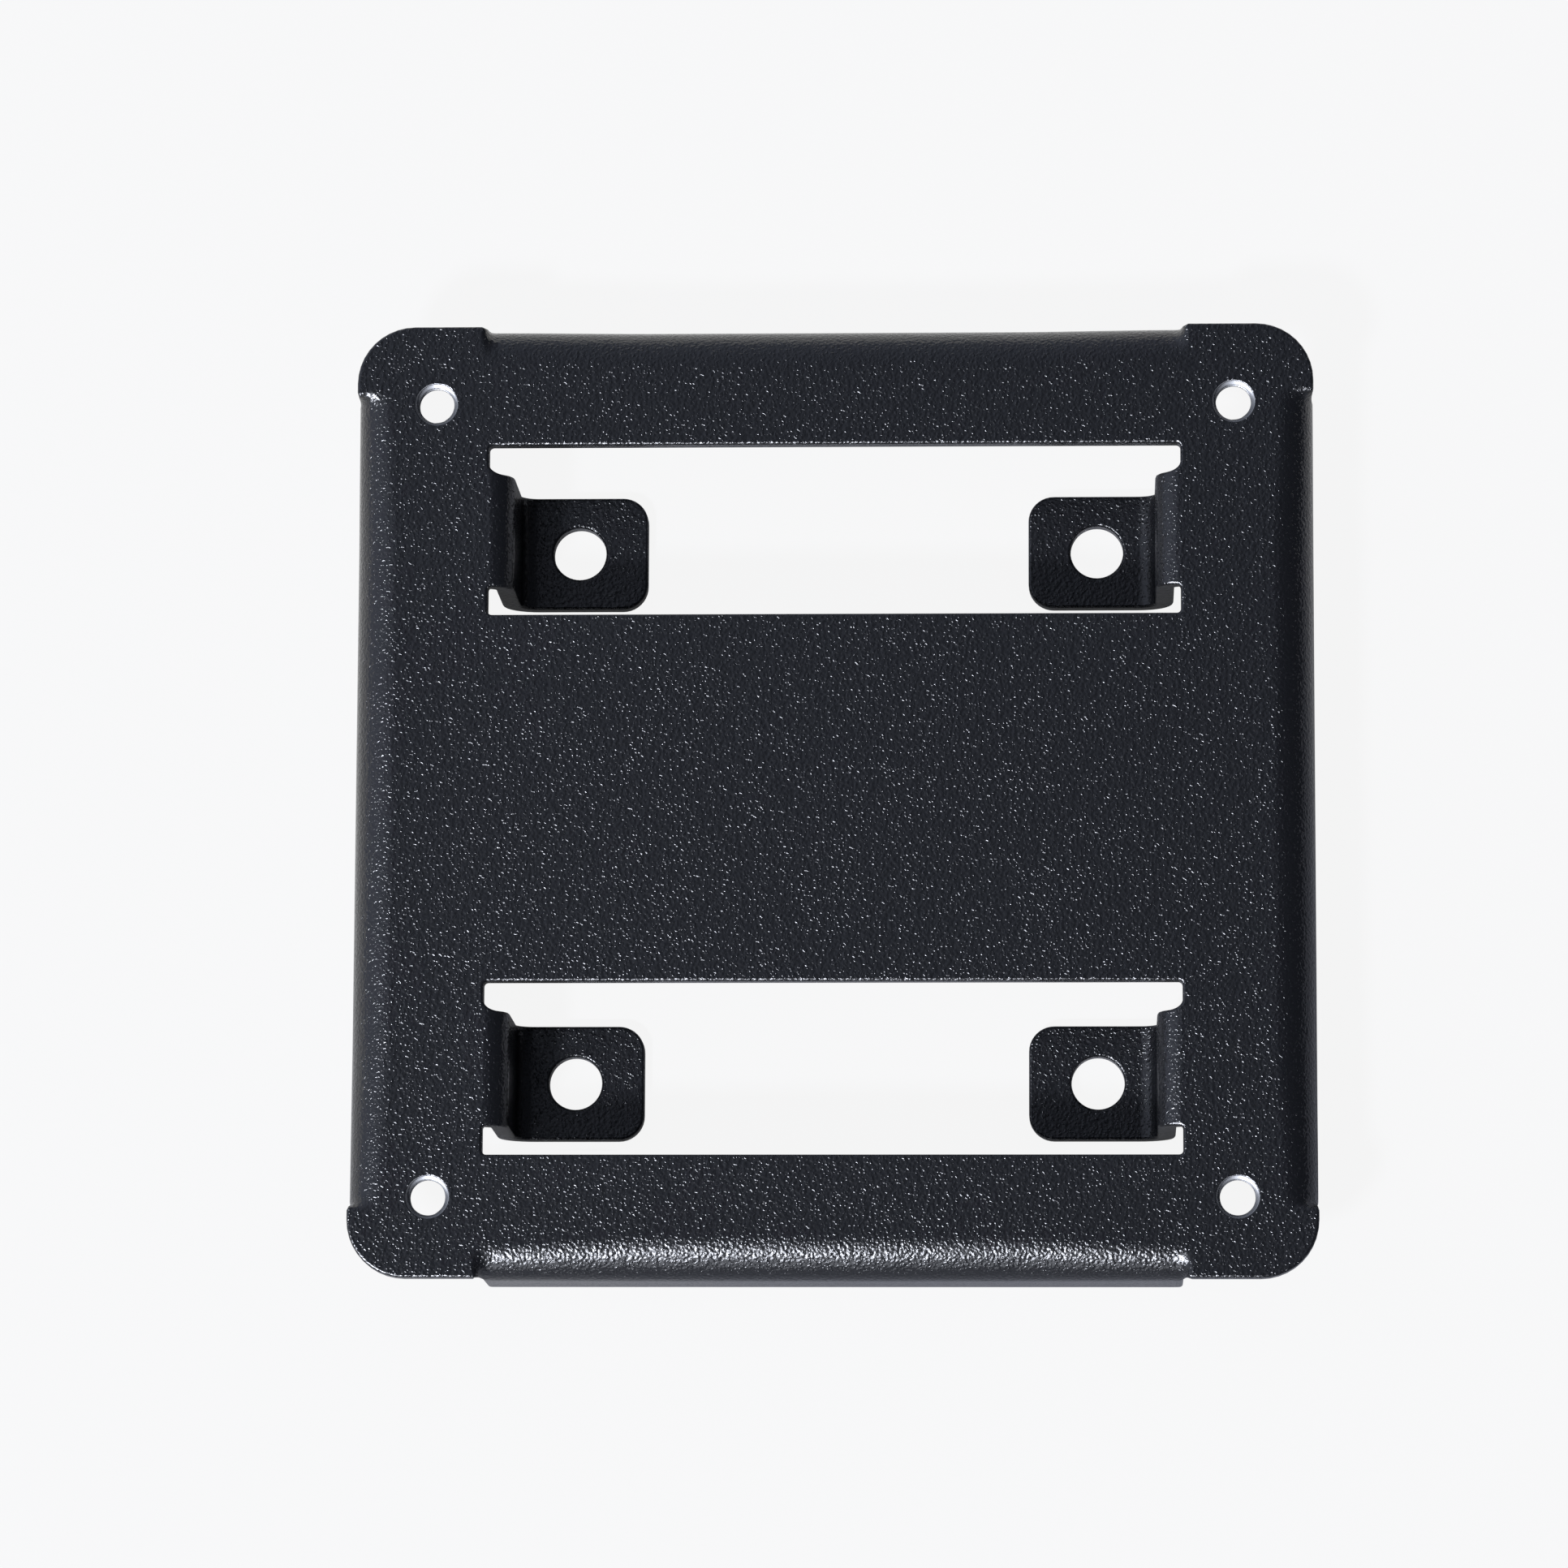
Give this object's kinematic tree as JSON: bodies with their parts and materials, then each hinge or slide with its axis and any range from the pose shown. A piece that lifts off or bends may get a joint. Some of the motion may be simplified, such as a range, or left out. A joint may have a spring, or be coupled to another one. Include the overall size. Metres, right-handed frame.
{
  "type": "vesa adapter plate",
  "caption": "Square folded steel plate with tapped corner holes, long windows and stepped feet with holes, black powder coat.",
  "frame": {"origin": "centre of the plate, on the surface that the soles of the four feet rest on", "axes": "+Z out of the front face, +Y towards the plate's upper edge, +X to the right seen from the front"},
  "size_m": [0.09, 0.09, 0.0137],
  "materials": {
    "powder_coated_steel": "fine-textured semi-gloss black powder coat"
  },
  "bodies": {
    "root": {"adapter_plate": "powder_coated_steel"}
  },
  "joints": []
}
